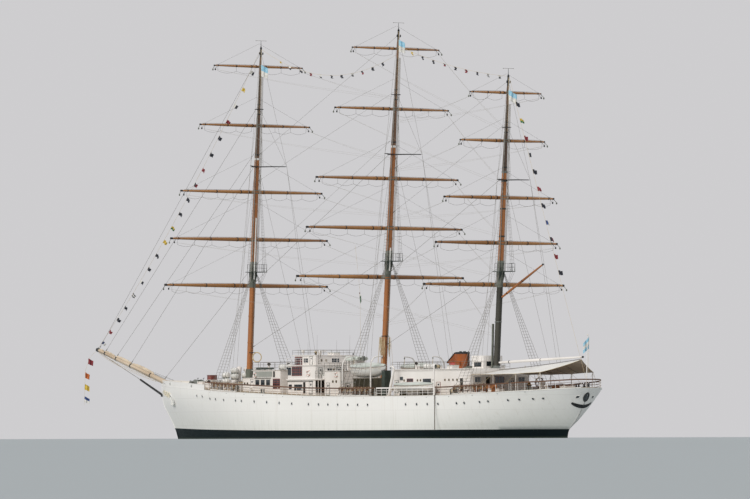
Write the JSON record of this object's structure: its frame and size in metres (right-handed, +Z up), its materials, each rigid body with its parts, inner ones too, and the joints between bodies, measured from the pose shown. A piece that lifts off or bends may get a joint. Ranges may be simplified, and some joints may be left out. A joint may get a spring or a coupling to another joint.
{
  "type": "tall ship, 1:10 scale model",
  "caption": "Full-rigged three-masted sail-training ship, 1:10 scale model, white hull, bare buff yards that brace round, awning over the after deck.",
  "frame": {"origin": "on the centreline at the waterline, midway between the perpendiculars", "axes": "+X to the bow, +Y to port, +Z up"},
  "size_m": [10.3212, 2.544, 5.74],
  "materials": {
    "topsides_paint": "gloss marine enamel",
    "bottom_paint": "matt bottom paint",
    "deck_planks": "bare scrubbed teak",
    "house_paint": "gloss marine enamel",
    "spar_paint": "buff spar paint",
    "mizzen_paint": "dark grey paint",
    "rail_teak": "varnished teak",
    "rigging_wire": "greased wire",
    "black_iron": "black paint",
    "bronze": "cast",
    "awning_canvas": "woven canvas",
    "funnel_paint": "ochre paint with a black cap",
    "boat_paint": "gloss",
    "deck_iron": "grey paint"
  },
  "bodies": {
    "hull": {"after_house": "house_paint", "awning": "awning_canvas", "bobstay": "black_iron", "bow_bulwark": "topsides_paint", "bowsprit": "spar_paint", "bridge_house": "house_paint", "ensign_staff": "house_paint", "fore_house": "house_paint", "fore_lower_mast": "spar_paint", "fore_shrouds_port": "rigging_wire", "fore_shrouds_starboard": "rigging_wire", "fore_topgallant_mast": "spar_paint", "funnel": "funnel_paint", "head_stays": "rigging_wire", "helm_stand": "house_paint", "hull_bottom": "bottom_paint", "hull_topsides": "topsides_paint", "launch_port": "boat_paint", "launch_starboard": "boat_paint", "lifeboat_port": "boat_paint", "lifeboat_starboard": "boat_paint", "main_lower_mast": "spar_paint", "main_shrouds_port": "rigging_wire", "main_shrouds_starboard": "rigging_wire", "main_stays": "rigging_wire", "main_topgallant_mast": "spar_paint", "middle_house": "house_paint", "mizzen_lower_mast": "mizzen_paint", "mizzen_shrouds_port": "rigging_wire", "mizzen_shrouds_starboard": "rigging_wire", "mizzen_stays": "rigging_wire", "mizzen_topgallant_mast": "spar_paint", "rail_port": "rail_teak", "rail_starboard": "rail_teak", "rail_stern": "rail_teak", "weather_deck": "deck_planks", "wheelhouse": "house_paint", "windlass": "deck_iron"},
    "fore_course_yard": {"fore_course_yard": "spar_paint"},
    "fore_lower_topsail_yard": {"fore_lower_topsail_yard": "spar_paint"},
    "fore_upper_topsail_yard": {"fore_upper_topsail_yard": "spar_paint"},
    "fore_topgallant_yard": {"fore_topgallant_yard": "spar_paint"},
    "fore_royal_yard": {"fore_royal_yard": "spar_paint"},
    "main_course_yard": {"main_course_yard": "spar_paint"},
    "main_lower_topsail_yard": {"main_lower_topsail_yard": "spar_paint"},
    "main_upper_topsail_yard": {"main_upper_topsail_yard": "spar_paint"},
    "main_topgallant_yard": {"main_topgallant_yard": "spar_paint"},
    "main_royal_yard": {"main_royal_yard": "spar_paint"},
    "mizzen_course_yard": {"mizzen_course_yard": "spar_paint"},
    "mizzen_lower_topsail_yard": {"mizzen_lower_topsail_yard": "spar_paint"},
    "mizzen_upper_topsail_yard": {"mizzen_upper_topsail_yard": "spar_paint"},
    "mizzen_topgallant_yard": {"mizzen_topgallant_yard": "spar_paint"},
    "mizzen_royal_yard": {"mizzen_royal_yard": "spar_paint"},
    "spanker_boom": {"spanker_boom": "house_paint"},
    "spanker_gaff": {"spanker_gaff": "spar_paint"},
    "rudder": {"rudder": "bottom_paint"},
    "propeller": {"propeller": "bronze"},
    "helm_wheel": {"helm_wheel": "rail_teak"}
  },
  "joints": [
    {"name": "fore_course_brace", "type": "hinge", "parent": "hull", "child": "fore_course_yard", "pos_m": [2.50951, 0, 1.922], "axis": [0, 0, 1], "range_deg": [-38, 38]},
    {"name": "fore_lower_topsail_brace", "type": "hinge", "parent": "hull", "child": "fore_lower_topsail_yard", "pos_m": [2.46864, 0, 2.501], "axis": [0, 0, 1], "range_deg": [-40, 40]},
    {"name": "fore_upper_topsail_brace", "type": "hinge", "parent": "hull", "child": "fore_upper_topsail_yard", "pos_m": [2.42618, 0, 3.096], "axis": [0, 0, 1], "range_deg": [-42, 42]},
    {"name": "fore_topgallant_brace", "type": "hinge", "parent": "hull", "child": "fore_topgallant_yard", "pos_m": [2.36105, 0, 3.927], "axis": [0, 0, 1], "range_deg": [-44, 44]},
    {"name": "fore_royal_brace", "type": "hinge", "parent": "hull", "child": "fore_royal_yard", "pos_m": [2.29981, 0, 4.666], "axis": [0, 0, 1], "range_deg": [-46, 46]},
    {"name": "main_course_brace", "type": "hinge", "parent": "hull", "child": "main_course_yard", "pos_m": [-0.34399, 0, 1.976], "axis": [0, 0, 1], "range_deg": [-38, 38]},
    {"name": "main_lower_topsail_brace", "type": "hinge", "parent": "hull", "child": "main_lower_topsail_yard", "pos_m": [-0.39353, 0, 2.572], "axis": [0, 0, 1], "range_deg": [-40, 40]},
    {"name": "main_upper_topsail_brace", "type": "hinge", "parent": "hull", "child": "main_upper_topsail_yard", "pos_m": [-0.44452, 0, 3.179], "axis": [0, 0, 1], "range_deg": [-42, 42]},
    {"name": "main_topgallant_brace", "type": "hinge", "parent": "hull", "child": "main_topgallant_yard", "pos_m": [-0.52185, 0, 4.027], "axis": [0, 0, 1], "range_deg": [-44, 44]},
    {"name": "main_royal_brace", "type": "hinge", "parent": "hull", "child": "main_royal_yard", "pos_m": [-0.59187, 0, 4.762], "axis": [0, 0, 1], "range_deg": [-46, 46]},
    {"name": "mizzen_course_brace", "type": "hinge", "parent": "hull", "child": "mizzen_course_yard", "pos_m": [-2.5996, 0, 1.839], "axis": [0, 0, 1], "range_deg": [-38, 38]},
    {"name": "mizzen_lower_topsail_brace", "type": "hinge", "parent": "hull", "child": "mizzen_lower_topsail_yard", "pos_m": [-2.63877, 0, 2.34], "axis": [0, 0, 1], "range_deg": [-40, 40]},
    {"name": "mizzen_upper_topsail_brace", "type": "hinge", "parent": "hull", "child": "mizzen_upper_topsail_yard", "pos_m": [-2.68159, 0, 2.881], "axis": [0, 0, 1], "range_deg": [-42, 42]},
    {"name": "mizzen_topgallant_brace", "type": "hinge", "parent": "hull", "child": "mizzen_topgallant_yard", "pos_m": [-2.74148, 0, 3.561], "axis": [0, 0, 1], "range_deg": [-44, 44]},
    {"name": "mizzen_royal_brace", "type": "hinge", "parent": "hull", "child": "mizzen_royal_yard", "pos_m": [-2.79527, 0, 4.135], "axis": [0, 0, 1], "range_deg": [-46, 46]},
    {"name": "spanker_boom_swing", "type": "hinge", "parent": "hull", "child": "spanker_boom", "pos_m": [-2.63592, 0, 0.905], "axis": [0, 0, 1], "range_deg": [-32, 32]},
    {"name": "spanker_gaff_swing", "type": "hinge", "parent": "hull", "child": "spanker_gaff", "pos_m": [-2.69223, 0, 1.69], "axis": [0, 0, 1], "range_deg": [-30, 30]},
    {"name": "rudder_swing", "type": "hinge", "parent": "hull", "child": "rudder", "pos_m": [-3.905, 0, -0.3], "axis": [0, 0, 1], "range_deg": [-35, 35]},
    {"name": "propeller_spin", "type": "hinge", "parent": "hull", "child": "propeller", "pos_m": [-3.79, 0, -0.34], "axis": [1, 0, 0], "continuous": true},
    {"name": "helm_wheel_spin", "type": "hinge", "parent": "hull", "child": "helm_wheel", "pos_m": [-3.42, 0, 0.65669], "axis": [1, 0, 0], "range_deg": [-540, 540]}
  ],
  "couplings": [
    {"joint": "helm_wheel_spin", "follows": "rudder_swing", "ratio": 15}
  ]
}
